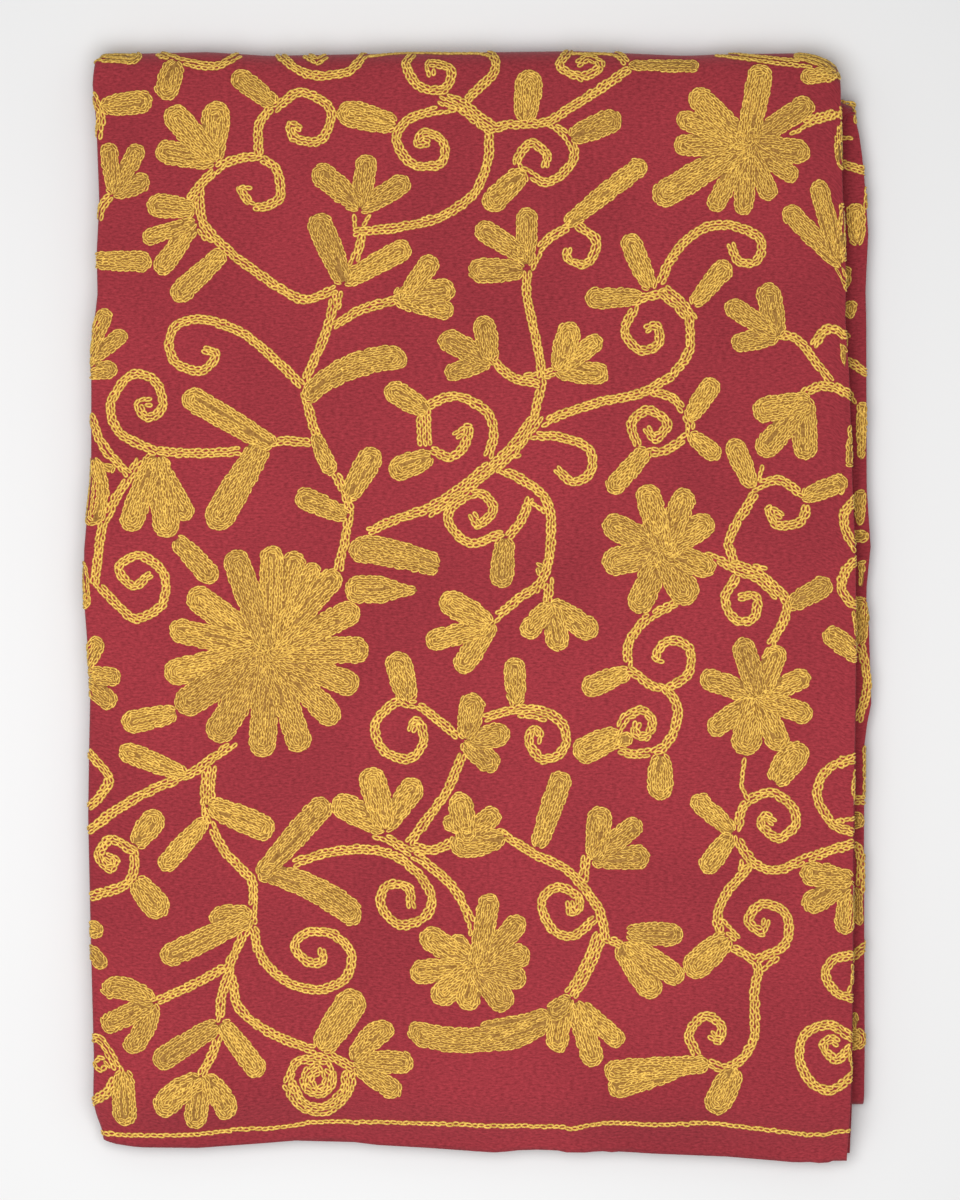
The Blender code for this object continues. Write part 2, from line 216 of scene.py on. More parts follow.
# Leaves and petals. Columns: base x, base y, tip x, tip y, width and, where it
# isn't straight, its bend to the left.
LEAVES = (
    (-193, 276.5, -167.6, 275.5, 9), (-187, 250, -162, 252.8, 12.5), (-151, 273, -156.5, 253, 13),
    (-101, 251, -122.3, 267, 11.5), (-181.5, 206.5, -184.5, 232, 9.5),
    (-181.5, 206.5, -168, 231, 10), (-181.5, 206.5, -163.6, 214, 11),
    (-131.5, 223.5, -154.5, 249.3, 14), (-132.5, 223, -129.5, 252.9, 15),
    (-131.5, 222.5, -161, 228.4, 12.5), (-141, 198.5, -165.3, 201, 12.5),
    (-141, 192, -167.5, 183.5, 9), (-141.5, 191, -160, 166.3, 11), (-127, 177, -152, 153.3, 12),
    (-196, 173.3, -162, 172.2, 11), (-58.4, 199.7, -81.5, 219.8, 13),
    (-58, 200, -54.6, 226.4, 11.5), (-58, 199, -33.5, 213.5, 11.5),
    (-66.3, 162.5, -81, 196.6, 13.5), (-66, 162.5, -33, 180.5, 12), (-41, 241, -70.2, 248, 14),
    (24, 243, 26.7, 269, 14.5), (23, 217, 4, 198.5, 13), (-37, 153, -21, 175, 11),
    (-41, 155, -10.6, 158.8, 12.5), (-40, 153, -11.3, 147.2, 10), (24, 175, -0.7, 190.7, 12),
    (24.5, 171, 25, 199.7, 11.5), (23, 168, -4.6, 168, 13), (76.5, 271, 111.5, 270.5, 7.5),
    (47, 234.5, 72.5, 245, 13), (44.5, 191, 84.3, 222.5, 10.5), (86.8, 159, 74.9, 186.2, 11.5),
    (108.3, 151, 126, 172.3, 11), (180, 267, 161.7, 264.5, 9), (159.4, 276.3, 182.9, 266, 7, 2),
    (180.5, 173, 170, 213.3, 10.5), (181.5, 171, 153.7, 199.8, 11), (183, 173, 185, 202, 8),
    (184.5, 241, 184, 218, 8, -2), (-196, 121, -184.7, 149.2, 9), (-196, 121, -175, 137.5, 9),
    (-196, 117, -179.5, 119, 10), (-102, 80.6, -146.8, 106.4, 13), (-192, 74, -193, 40, 12, 3),
    (-190, 72, -181, 68, 5), (-161, 75, -174.5, 37.5, 13), (-159, 74, -154.5, 34, 14),
    (-159, 74.5, -143.5, 43, 11.5, -1.2), (-107.5, 81, -132.4, 38.7, 16), (-65, 45.4, -91, 56, 12),
    (-86, 104.5, -34.5, 124.6, 13.6, 5.8), (7, 123, 2.5, 145.5, 12), (6, 123, -19, 135.3, 12.5),
    (6, 122, -16.3, 116, 10), (41, 118, 47.5, 142.5, 13), (40, 118, 62.5, 134.5, 10.5),
    (40, 118, 66, 116, 12), (-25, 98, -46, 110, 12.5), (-23, 75, -44, 66.8, 13),
    (-64.6, 54.3, -50.1, 79.3, 13), (-81, 86, -72.2, 65.5, 9), (82, 154.5, 53.5, 154, 11),
    (150, 135.5, 124.3, 152, 11), (150, 135.5, 144.5, 162, 13), (150, 135.5, 127, 131, 11),
    (183.8, 120, 183, 131, 4), (106, 94, 119.5, 114, 11), (106.7, 86, 121.5, 74, 10),
    (85, 78.5, 66, 57, 11), (137.3, 60.5, 127.3, 83.8, 11.5), (166, 102.8, 137.5, 97, 13.3),
    (165, 103, 140.8, 75.3, 13), (164.5, 103, 163.8, 73, 13), (163, 54.5, 185.5, 63.3, 10.5),
    (187.5, 91, 186.2, 69.3, 5), (-19.2, 20.3, -64, 29.5, 15, -1.5), (14, 34, 12, 9, 12.5),
    (31, 15, 31.5, 22, 4), (6, -8.5, -18.5, 5, 14), (6, -10, -25.8, -18, 11.5),
    (7.5, -8.5, -9.5, -32.8, 12), (37, 1, 23, -15.2, 11.5), (37, 1, 41.3, -22.6, 12.5),
    (37, 1, 60, -14.5, 13), (-34.5, -47, -40.8, -22.2, 14), (19.7, -49, 18.6, -25, 11.5),
    (-5.2, -66, -1.4, -42.8, 13.5), (-5, -66.5, 16.8, -63.3, 13), (-6, -67.3, 10.6, -81.3, 12.5),
    (156, 0.5, 177.5, 12.5, 11.5), (75.5, -32.5, 52.3, -42, 11.5), (71, -64.3, 48, -74.3, 14.5),
    (70, -67.5, 78.5, -65, 8), (91.6, -74.5, 91.6, -97, 13.5), (149, -87.7, 164, -68.9, 15.5, 1),
    (191.5, -25.5, 173.5, -11.5, 11.5), (188, -2, 190, -16, 3), (-150, 33.5, -130.4, 12.4, 12),
    (-198, -34, -188.3, -15, 9.5), (-198, -33, -177.8, -35.8, 10), (-198, -34, -180.8, -50.2, 11),
    (-198, 22, -197, -2, 9), (-150.5, -53, -177.8, -58.8, 12.5), (-146, -84, -179, -71, 11),
    (-134, -99, -101.5, -113, 14), (-136, -107, -158, -131.5, 11), (-170.5, -119, -158.3, -102, 13),
    (-170.5, -137, -155.8, -154.8, 14.5), (-113, -155.5, -158, -176.5, 12.7),
    (-113, -154.5, -134, -156.5, 14), (-108.5, -134.5, -74.3, -96.3, 13),
    (-108, -132, -58, -156.8, 14, 3.7), (-196, -160.5, -186.4, -162.3, 11),
    (-194, -170, -185.7, -181, 8), (-46, -110.5, -53.8, -80, 14.5), (-46, -110.5, -29, -86, 13),
    (-46, -110.5, -72.3, -96.5, 14), (-5, -117, -9.3, -92.5, 13), (-3, -111, -17, -106.8, 10),
    (-2, -112, 11.3, -102, 11.5), (13.5, -114.5, -14, -119, 13, 2), (30.5, -120, 43.4, -82, 12),
    (59, -126, 62.2, -99.2, 13), (58, -126, 82, -106.8, 11.5), (58, -126, 86.6, -124.8, 13),
    (75.5, -163, 103, -164, 12.5), (75, -167.8, 103, -187, 12.5), (71.8, -169.5, 90.2, -195.2, 14),
    (125, -165.5, 104.3, -184, 15), (127.8, -112.6, 107.7, -94.5, 10.8),
    (127.3, -113.8, 112.8, -133, 11.5), (187, -136.5, 161.2, -132.5, 13),
    (186, -137, 163, -150.8, 13), (186, -137, 183.5, -164, 11),
    (-162, -197, -188, -190.5, 12, -2.5), (-162, -198, -187.8, -210.5, 11.5),
    (-161.5, -198.5, -175, -222.8, 11.5, 2), (-130, -209, -161.5, -229, 12.5),
    (-127.6, -208, -107.2, -234.7, 11.7), (-138, -236, -160, -254.5, 14, -2),
    (-137.5, -235, -141.8, -262, 12.5), (-136, -235, -123.7, -257, 13, 2),
    (-176.6, -232.5, -176.2, -260.8, 12.7), (-78, -221, -58.7, -191.9, 16.5),
    (-61.5, -227, -42, -208.7, 13, 2.3), (-61, -227, -31.2, -228, 12), (-60, -230, -38, -243.8, 11),
    (36, -206.5, -35, -211.8, 13.5, 7.3), (36, -205.3, 0, -214, 17, 3),
    (47, -196, 34.8, -205, 10.5), (46, -198, 40, -223, 12.5, -2), (49, -198, 59.3, -230, 12),
    (51, -198.6, 72.8, -219, 10.5), (115, -228.7, 63.3, -232.5, 12),
    (104, -230.2, 65.2, -241.6, 12), (128.5, -231.7, 117.5, -253.5, 14.7),
)

# Leaves pointed at their base, with the same columns
POINTED_LEAVES = ((-29.8, 8, -66.5, 8.8, 14.5),)

# Stems and scrolls. Each: rows of chain side by side, then points on its smooth line.
STEMS = (
    (2, (-192, 255), (-188, 246), (-189.5, 236)), (2, (-181.5, 206), (-187, 201), (-189, 195)),
    (2, (-159, 277.5), (-147, 272.8), (-133, 270.6), (-125.7, 272.6), (-120.5, 276)),
    (2, (-98.6, 276.7), (-89.6, 268.6), (-79, 265.7), (-64.6, 267.6), (-57.2, 275.5)),
    (2, (-56.6, 276.5), (-40, 278.8), (-15, 278.8), (6, 277.5), (8.8, 268), (1.8, 260),
     (-4, 254.5)),
    (2, (-84.8, 276.4), (-80.2, 273.6), (-76.6, 275.4)),
    (2, (-100, 249.6), (-89, 257), (-76.3, 252), (-72.7, 244.8), (-78.6, 232.8), (-91.4, 234.4),
     (-93, 240.5), (-89, 239.2)),
    (2, (-104, 248), (-109, 240), (-109, 227)),
    (2, (-109, 225.3), (-121.7, 223.3), (-132, 217), (-143, 205)),
    (2, (-106, 223), (-100, 217.7), (-98.6, 204), (-110.5, 199.7), (-117.7, 208), (-114.5, 208)),
    (2, (-138.5, 210), (-138, 196), (-133, 186.6), (-121.7, 175.4)),
    (2, (-121.7, 175.4), (-105.8, 164), (-91.4, 155), (-84, 153.5), (-72, 158)),
    (2, (-140, 189.7), (-133, 184)),
    (2, (-33.2, 276), (-35.5, 271), (-28.5, 259.8), (-16.3, 259), (-13.2, 268.7), (-23.5, 272),
     (-22.7, 266.7)),
    (3, (-17, 254.2), (-7.6, 250.2), (0.4, 244), (6.8, 239.2)),
    (2, (7.6, 239.2), (17, 240.8), (34.7, 242.2), (44.5, 248), (60.5, 258.2), (74.8, 268)),
    (2, (-9, 249.6), (-22.7, 247.6), (-35.5, 242.4), (-40.3, 232.8), (-31.5, 220.8), (-18, 221.6),
     (-17, 232), (-25.8, 237), (-29.5, 231.8), (-25, 231.5)),
    (2, (6, 238), (5.6, 224), (-1, 207), (-16.3, 195.6), (-37, 189.7), (-60, 187.3)),
    (1, (-61.4, 197.7), (-61, 187.3)), (1, (-53, 197.7), (-55.8, 191.3)),
    (2, (-57.4, 185), (-59.4, 178), (-61.8, 171.4)),
    (2, (20.8, 219), (20.4, 224), (27.2, 231.6), (34.7, 226.4), (34.4, 221)),
    (2, (23.5, 217.7), (35.5, 212), (47.8, 222.4), (46.3, 233.2), (37.6, 241)),
    (2, (27, 170), (33, 181), (41, 187.3), (50, 191)),
    (2, (45.5, 278), (41.6, 270.5), (52.5, 265), (62, 270.5), (56.5, 274.8), (51.5, 272.3)),
    (2, (46, 278.5), (68.5, 277.8), (75.6, 271)),
    (2, (51.7, 189.7), (59.7, 182.3), (55.2, 171.6), (46, 173.3), (45.3, 177.8)),
    (2, (121, 277.8), (146, 273.8), (166, 271.5)), (2, (157, 237.5), (168, 243), (182.4, 247)),
    (2, (92.4, 163), (98.8, 176.5), (113, 188.9), (129, 190.2), (141.6, 183.3), (140, 173.3),
     (131, 172.3), (127.3, 180)),
    (2, (177.5, 175.4), (181.5, 168), (185.5, 160)),
    (2, (-161.8, 78.2), (-178.9, 87.3), (-182.7, 101.8), (-172.6, 115.7), (-160.8, 112.5),
     (-157, 99.8), (-164.8, 94.6), (-169.3, 101.2), (-164, 102.3)),
    (2, (-88.4, 111.5), (-100.7, 123.3), (-118, 137), (-137.9, 143.5), (-152, 138.6),
     (-152, 123.8), (-138.5, 117.6), (-130.3, 125.5), (-135.3, 128.3)),
    (2, (-193, 95), (-186.4, 79.8), (-175, 67)),
    (2, (-169.3, 72), (-178.7, 57), (-185, 45), (-187.7, 38), (-189, 28), (-191, 13)),
    (2, (-161.6, 78), (-141.6, 76.7), (-117.7, 78), (-99.4, 82.6), (-81.8, 81.8)),
    (2, (-86, 106), (-81, 88.5), (-73.8, 73), (-64.4, 51.6), (-65.8, 34.6), (-69, 19.5)),
    (2, (-85, 115), (-77.8, 131), (-72.6, 147), (-72.2, 155)), (1, (-69.8, 147), (-68, 156)),
    (2, (-73, 139), (-58.6, 148), (-42.7, 152.8)), (2, (7.6, 123.3), (18, 114.5), (30, 111.4)),
    (1, (18, 115.5), (29, 116)), (2, (25, 166), (25, 155), (30, 131), (32.3, 113.7), (29, 97)),
    (3, (30, 95), (20, 81), (9, 70)), (3, (6, 69), (-9.2, 57), (-23.5, 48.2)),
    (2, (-24, 49), (-40, 43.6), (-53, 38)), (2, (34.7, 116), (39.5, 117.7)),
    (2, (-26, 100), (-10.8, 105), (4.4, 98), (8.4, 87), (6, 76.3)), (3, (-26.7, 97), (-26, 82)),
    (2, (-24.3, 79.5), (-13.2, 74.7), (-6, 81), (-4.4, 89), (-9.2, 86)),
    (2, (11.6, 36.2), (-3.6, 31.8), (-14, 41.8), (-11.6, 50.7), (1.2, 56.7), (8.4, 49), (1.2, 41),
     (-2, 45)),
    (2, (9.7, 69.7), (25.5, 61.7), (35.2, 52.3), (37, 36), (33, 14), (20.3, 3.6), (6.8, -7.6)),
    (2, (36.3, 13), (35.5, 3.6)), (2, (26, 53), (23, 45), (18, 37.5), (14, 34)),
    (1, (26, 53), (33, 47.6), (35, 42)),
    (2, (30.7, 90.4), (44.5, 96.8), (63, 102.4), (81.2, 106.4), (96.4, 114.5)),
    (2, (97, 114.5), (106, 128), (106.3, 144)), (3, (106.5, 144), (102, 150), (94, 157)),
    (2, (25, 85), (40, 85), (55, 79.5), (57.3, 68.3), (48.5, 62.3), (40.6, 68)),
    (1, (13.2, 72.3), (20.3, 75.5)), (2, (80, 153.5), (93, 156.5)),
    (2, (78.8, 149.6), (74, 137.7), (81.2, 128), (90.8, 131.3), (90, 140), (85.5, 139)),
    (2, (88.4, 107.4), (98.8, 103.4), (106, 93), (106.7, 87.4)),
    (2, (81.2, 78.7), (77.2, 91.4), (86, 98), (95.2, 91.4), (89.2, 84), (85.2, 88)),
    (2, (86, 77), (94, 78), (104.4, 84.2)),
    (2, (151.4, 136), (160.7, 133), (170.3, 121), (176, 113.7)),
    (2, (161.5, 105.5), (172, 110.3), (183, 108), (187, 105.3), (193, 103.5)),
    (2, (167, 129), (175, 138.5), (184, 136.2)), (2, (138.4, 59.3), (150.4, 63.3), (162.3, 56.2)),
    (2, (165, 52.4), (161.7, 42.6), (149.8, 40.9), (146.2, 48.5), (151, 46)),
    (2, (189, 53.5), (183.7, 46), (184.5, 37.5), (189.5, 29.5)),
    (2, (-189.5, 11.5), (-182.3, 3.5), (-170.4, -5.9), (-157.2, 1.7), (-156.8, 17), (-168.8, 25.5),
     (-179, 19.5), (-172, 10.3), (-164, 15.5)),
    (2, (-32.3, -48.7), (-40.7, -48), (-50.8, -58.7), (-46.6, -71.6), (-34, -76.1), (-27, -68.5),
     (-27.8, -60), (-30.8, -57.2), (-32.4, -61)),
    (2, (-30.7, -48.5), (-22.7, -54), (-11, -63.8)),
    (2, (2, -56.5), (14.8, -52.3), (28.3, -51.3), (40.4, -56), (44.6, -65.5), (41, -74),
     (32.5, -76), (26.3, -68.5), (27.5, -62), (31, -62.5), (30, -66)),
    (1, (22, -54.8), (28, -55.3), (36, -57.3)), (2, (112, 26), (120, 23.5), (128, 19.5)),
    (3, (128, 20), (141, 15), (150, 7)), (2, (151, 9), (154.8, 2), (153.6, -6), (147.2, -18)),
    (2, (128, 23.5), (126.6, 35), (139.7, 58)), (1, (141.3, 63.5), (142, 69)),
    (1, (139, 20.3), (143.5, 19.3)),
    (2, (130.7, 16.3), (124, 4.4), (129.5, -6.7), (138.6, -5.3), (139.4, 5), (132, 5)),
    (2, (98, 1.2), (84.6, -6.4), (76, -18), (75.6, -29)),
    (2, (77, -32), (87.6, -39.5), (95.5, -42), (100.4, -54), (93.6, -69.8), (79.6, -73.8),
     (72.5, -72)),
    (2, (94, -41), (105.4, -34), (106, -21), (95.8, -17.2), (89.6, -24.2), (92.6, -26)),
    (2, (70.5, -62), (75, -55), (82, -51.8), (87.6, -57.5), (85, -64.3), (79.5, -63.5),
     (80, -59.5)),
    (1, (133.6, -74), (133, -82.7), (132.2, -90), (134.8, -95.2)),
    (2, (190.5, 23.5), (185, 18.5), (182, 10), (185.7, 2.7), (189, 1)),
    (2, (-193.5, -73.5), (-184.4, -84.5), (-186.5, -92.5), (-193.5, -99.5)),
    (2, (-193.5, -111.7), (-176, -98.9), (-159, -90), (-142.4, -82.9), (-121.9, -68.4)),
    (3, (-133.7, -81), (-134.5, -94), (-133.7, -106.6)),
    (2, (-134, -106.6), (-126.5, -121.5), (-117.3, -131.2), (-112, -138.5), (-112.3, -157)),
    (2, (-172, -122), (-182.8, -116.4), (-189.2, -124), (-184.2, -131), (-180.8, -127),
     (-184, -125.5)),
    (2, (-171.3, -122.6), (-171.6, -132.5), (-177, -139.6), (-192, -144.5)),
    (2, (-112.5, -157), (-118.8, -168), (-124, -180)),
    (2, (-121.7, -178), (-136.1, -185.9), (-148.8, -192.1), (-161, -197.6)),
    (2, (-111.3, -161.7), (-107, -176.2), (-94, -188), (-78, -191.3), (-65.4, -185), (-63, -173),
     (-72, -163.5), (-84.5, -162.8), (-91, -169.5), (-85, -177.2), (-77.4, -177.6),
     (-77.5, -172.6)),
    (2, (-90.6, -127.8), (-70.6, -122.3), (-49, -122), (-34, -129), (-23.3, -142.5), (-25, -154),
     (-38.3, -158.9), (-48, -149), (-44.5, -139.4), (-34.3, -140.3), (-32.9, -149)),
    (2, (-50, -114), (-44.3, -116), (-34, -122.6)),
    (2, (-7.6, -75), (-14.7, -91.9), (-26.6, -108.5), (-35, -119.5)),
    (2, (-34, -124), (-26.2, -127.4), (-11.6, -140.7), (-3.5, -156.5), (-2, -162.5)),
    (2, (-30.7, -120), (-22.7, -121.8), (-12.4, -117.8)),
    (2, (10.8, -112), (27.5, -123.1), (44.5, -131.2), (56.7, -144.5), (62.6, -156), (63.8, -165)),
    (2, (60.3, -154.8), (48, -164.5), (37, -160.4), (32.4, -147.5), (40.5, -140.2), (50.3, -145),
     (50.8, -151), (47.5, -152.5), (46.5, -148.5)),
    (2, (54.6, -126), (53.3, -133)), (1, (57, -130), (54.8, -136)),
    (3, (61, -165), (57.6, -174), (53.6, -183), (47.6, -193)), (2, (65.3, -166), (76, -170.6)),
    (2, (135.5, -130.6), (124.3, -144), (120.3, -155), (122, -164)),
    (2, (122.7, -158.5), (129, -165)),
    (2, (130.3, -110.6), (134, -98.5), (146.6, -93), (157, -99.3), (159.4, -108.5), (151, -115.6),
     (142.4, -109.5), (144, -104.5), (147.5, -107)),
    (2, (129.5, -115.5), (137.8, -127.4), (149.8, -131.4), (170.3, -123.9), (187, -118.6)),
    (2, (141, -176), (154, -168.5), (154.6, -154), (143.4, -148.5), (135.4, -156), (141.8, -162.6),
     (144.3, -158)),
    (2, (126, -169.6), (138.6, -176.8), (140.5, -183)), (1, (143.5, -181), (149.5, -176.5)),
    (2, (140.5, -183), (138.6, -193), (139, -205)),
    (2, (138.8, -205), (138.5, -215.5), (132, -226.6), (122.7, -230.5), (111.5, -226)),
    (2, (109, -222.6), (105.9, -213.5), (113.7, -204.6), (122, -209.5), (121.2, -216.3),
     (117.9, -214.6)),
    (2, (127.5, -229), (128.5, -232.5)),
    (2, (189.5, -75.4), (175.3, -81.4), (170, -94), (177.2, -107.9), (187, -112.6)),
    (1, (189, -83.5), (188.3, -92), (190.3, -99)), (1, (180.5, -107.5), (187.5, -106)),
    (1, (130, -119), (132.3, -126), (131.5, -131)),
    (2, (-123.3, -182), (-127.3, -193.1), (-128.5, -203.5)),
    (2, (-122.5, -186), (-118.9, -200.3), (-106.6, -211), (-89.8, -218.6), (-73.8, -224.2),
     (-63.3, -229.8)),
    (3, (-64, -234), (-66, -243), (-75.5, -251.3), (-86.7, -249.7), (-93.3, -239.5)),
    (2, (-94.3, -237), (-89.5, -227.3), (-76.5, -227)),
    (3, (-76, -229.5), (-73.3, -236), (-77.5, -242), (-84, -240), (-84.3, -234.5), (-81.3, -231.7)),
    (2, (-193, -215.5), (-188, -216.7), (-183, -224.5), (-178.7, -232.2)),
    (2, (-180.3, -234.6), (-184.7, -242.5), (-193, -248)),
    (1, (-184.8, -228.6), (-188.1, -225.4), (-191.4, -228.6), (-188.1, -231.8), (-184.8, -229)),
    (2, (-128, -206), (-130.5, -219.4), (-137.3, -233)),
    (2, (187.1, -174.3), (177.6, -176.8), (174.3, -184.4), (179.7, -192.6), (186.7, -195.5)),
    (1, (187, -177), (188, -184), (186.5, -191)),
    (2, (187.1, -215.4), (175.9, -209), (163.9, -213.8), (161.1, -225.8), (167.1, -237.7),
     (176.7, -241.7), (187.2, -234.8)),
    (1, (186.5, -222.5), (187.5, -229), (188, -235)),
    (2, (186, -221), (179.5, -226.3), (173.4, -220.8), (176.3, -216), (179.5, -217.5)),
    (1, (-196, -158), (-196, -190)),
)

# On the strip that shows past the right edge: leaves, then stems as above
SIDE_LEAVES = (
    (191, 182, 190, 203, 10), (184, 160, 185, 172, 8), (187.4, 145.5, 187.9, 154, 7),
    (184, 130, 184.5, 139, 6), (193, 74, 193.6, 103, 6), (192.5, 41.5, 192.5, 59, 6.5),
    (184, 35.5, 197.5, 35.5, 7), (193.3, 10, 193.5, 23.5, 4), (191.5, -18.5, 192.5, 5.5, 11),
    (183, -107.3, 195.2, -107.3, 9), (191.5, -141, 192, -160.5, 5), (190, -212, 189.8, -203.5, 4.5),
    (183, -217.4, 196.5, -217.4, 11.5),
)
SIDE_STEMS = (
    (2, (183, 252.4), (190.3, 250.6), (191.5, 244)), (1, (183, 235.5), (187, 235.5)),
    (2, (182, 223), (195, 219)), (1, (195.5, 209), (195.5, 195)),
    (2, (182, 124), (188, 122.5), (195, 118)), (1, (186, 110), (194, 95)),
    (2, (191.8, -18), (195.3, -30), (195.8, -42), (192, -56)), (1, (195, -72), (194.8, -94)),
    (2, (185, -97), (194, -97)), (2, (184, -122), (192, -122), (193, -142)),
    (2, (187, -178), (197, -169)),
)


# The folded sheet


def lerp(low, high, share):
    return low + (high - low) * share


def smooth_step(share):
    share = np.clip(share, 0.0, 1.0)
    return share * share * (3.0 - 2.0 * share)


def read_table(rows, key, column=1):
    return np.interp(key, [row[0] for row in rows], [row[column] for row in rows])


def edges_at(edges, y):
    left = read_table(edges, y, 1) - EDGE_SET_OUT
    right = read_table(edges, y, 2) + EDGE_SET_OUT
    return left, right


def shift_x(x, left, right):
    return lerp(left - LEFT, right - RIGHT, (x - LEFT) / (RIGHT - LEFT))


def shift_y(x, y):
    hem_shift = read_table(FRONT_HEM, x) - HEM_Y
    top_shift = read_table(TOP_FOLD, x) - TOP_Y + EDGE_SET_OUT
    return lerp(hem_shift, top_shift, (y - HEM_Y) / (TOP_Y - HEM_Y))


def swell_at(x, y):
    """How much thicker than even the packet is here, as a share."""
    crown = np.cos(math.pi * x / CROWN_SPAN_X) * np.cos(math.pi * y / CROWN_SPAN_Y)
    wave = np.sin(x / WAVE_X + WAVE_START_X) * np.sin(y / WAVE_Y + WAVE_START_Y)
    return CROWN * crown + WAVE * wave


def droop_at(y):
    return DROOP * smooth_step((DROOP_START - y) / DROOP_LENGTH)


def lay(x, n, station):
    """Places in metres of points of the strip's section at their stations."""
    y, z, normal_y, normal_z, left, right = station
    y = y + n * normal_y
    z = z + n * normal_z
    x = x + shift_x(x, left, right)
    y = y + shift_y(x, y)
    share_over_base = np.clip((z - STRIP) / (2 * STRIP), 0.0, 1.0)
    dip = NOSE_DIP * smooth_step((y - NOSE_START) / NOSE_LENGTH)
    z = z + swell_at(x, y) * np.maximum(z - CORE_RUN, 0.0) - dip * share_over_base
    place = np.stack(np.broadcast_arrays(x, y, z), axis=-1)
    return (place - np.array(MIDDLE_OF_BOX)) * MM


def flat_station(edges, level, side, y):
    """Station of a strip that lies flat, at these y."""
    drop = droop_at(y) if level > SHOWN else 0.0 * y
    left, right = edges_at(edges, y)
    return y, level * STRIP - drop, 0.0 * y, side + 0.0 * y, left, right


def front_station(along):
    """Station of the front strip, which goes over the top fold to the underside."""
    turn = np.clip((along - TOP_CENTRE) / NOSE_RADIUS, 0.0, math.pi)
    past_fold = np.maximum(along - NOSE_END, 0.0)
    y = np.minimum(along, TOP_CENTRE) + WIDE_FOLD * np.sin(turn) - past_fold
    z = TOP_FOLD_Z + WIDE_FOLD * np.cos(turn)
    z = z - np.where(along < TOP_CENTRE, droop_at(y), 0.0)
    seen_y = y + FACE_RUN * np.sin(turn)
    above = turn < math.pi / 2
    left, right = edges_at(FRONT_EDGES, seen_y)
    base_left, base_right = edges_at(BASE_EDGES, seen_y)
    left = np.where(above, left, base_left)
    right = np.where(above, right, base_right)
    return y, z, np.sin(turn), np.cos(turn), left, right


def face_section(across, height):
    """Section place of a point on the shown face, round the side folds too."""
    left_turn = np.clip((OUTER_FOLD_X - across) / FACE_RUN, 0.0, math.pi)
    right_turn = np.clip((across - RIGHT_FOLD_X) / CORE_RUN, 0.0, math.pi)
    past_left = np.maximum(OUTER_FOLD_X - across - math.pi * FACE_RUN, 0.0)
    past_right = np.maximum(across - RIGHT_FOLD_X - math.pi * CORE_RUN, 0.0)
    x = np.clip(across, OUTER_FOLD_X, RIGHT_FOLD_X) + past_left - past_right
    x = x - (FACE_RUN + height) * np.sin(left_turn)
    x = x + (CORE_RUN + height) * np.sin(right_turn)
    left_n = (FACE_RUN + height) * np.cos(left_turn)
    right_n = LAYER_PITCH + (CORE_RUN + height) * np.cos(right_turn)
    return x, np.where(across > RIGHT_FOLD_X, right_n, left_n)


def front_place(across, along, height):
    x, n = face_section(across, height)
    return lay(x, n, front_station(along))


def side_place(across, along, height):
    x, n = face_section(across, height)
    return lay(x, n, flat_station(SHOWN_EDGES, SHOWN, 1, along))


def round_fold(past, radius):
    """Length over a round fold of a place seen this far past its start."""
    past = np.maximum(past, 0.0)
    turn = np.arcsin(np.minimum(past / radius, 1.0))
    return radius * turn + np.maximum(past - radius, 0.0)


def flat_places(seen, edges):
    """Flat coordinates of points seen from above."""
    x, y = seen[:, 0], seen[:, 1]
    across, along = x, y
    for _ in range(SETTLING_ROUNDS):
        left, right = edges_at(edges, along)
        across = x - shift_x(across, left, right)
        along = y - shift_y(x, along)
    inside = np.clip(across, OUTER_FOLD_X, RIGHT_FOLD_X)
    across = (
        inside
        - round_fold(OUTER_FOLD_X - across, FACE_RUN)
        + round_fold(across - RIGHT_FOLD_X, CORE_RUN)
    )
    along = np.minimum(along, TOP_CENTRE) + round_fold(along - TOP_CENTRE, NOSE_RADIUS)
    return np.stack((across, along), axis=1)


def even_steps(start, end, step):
    count = max(2, round(abs(end - start) / step))
    return np.linspace(start, end, count, endpoint=False)


def arc_steps(centre, radius, first_turn, turns, cells, facing):
    """Rows of x, n and the face's normal on an arc, angles in half turns."""
    angle = math.pi * (first_turn + turns * np.arange(cells) / cells)
    outward = np.stack((np.cos(angle), np.sin(angle)), axis=1)
    return np.concatenate((centre + radius * outward, facing * outward), axis=1)


def run_steps(start, end, n, facing, step):
    x = even_steps(start, end, step)
    flat = np.ones_like(x)
    return np.stack((x, n * flat, 0 * flat, facing * flat), axis=1)


def strip_section():
    """The strip's section from hem to hem: x, n and the normal of its face."""
    inner_fold_x = OUTER_FOLD_X + INNER_FOLD_SET_BACK
    lower_hem_x = RIGHT - OUTER_HEM_SET_BACK
    upper_hem_x = RIGHT - INNER_HEM_SET_BACK
    pieces = (
        run_steps(lower_hem_x, OUTER_FOLD_X, -FACE_RUN, -1, COARSE),
        arc_steps((OUTER_FOLD_X, 0), FACE_RUN, -0.5, -1, LEFT_FOLD_CELLS, 1),
        run_steps(OUTER_FOLD_X, RIGHT_FOLD_X, FACE_RUN, 1, FINE),
        arc_steps((RIGHT_FOLD_X, LAYER_PITCH), CORE_RUN, 0.5, -1, RIGHT_FOLD_CELLS, 1),
        run_steps(RIGHT_FOLD_X, inner_fold_x, CORE_RUN, -1, COARSE),
        arc_steps((inner_fold_x, 0), CORE_RUN, 0.5, 1, INNER_FOLD_CELLS, -1),
        run_steps(inner_fold_x, upper_hem_x, -CORE_RUN, 1, COARSE),
        np.array(((upper_hem_x, -CORE_RUN, 0.0, 1.0),)),
    )
    return np.concatenate(pieces)


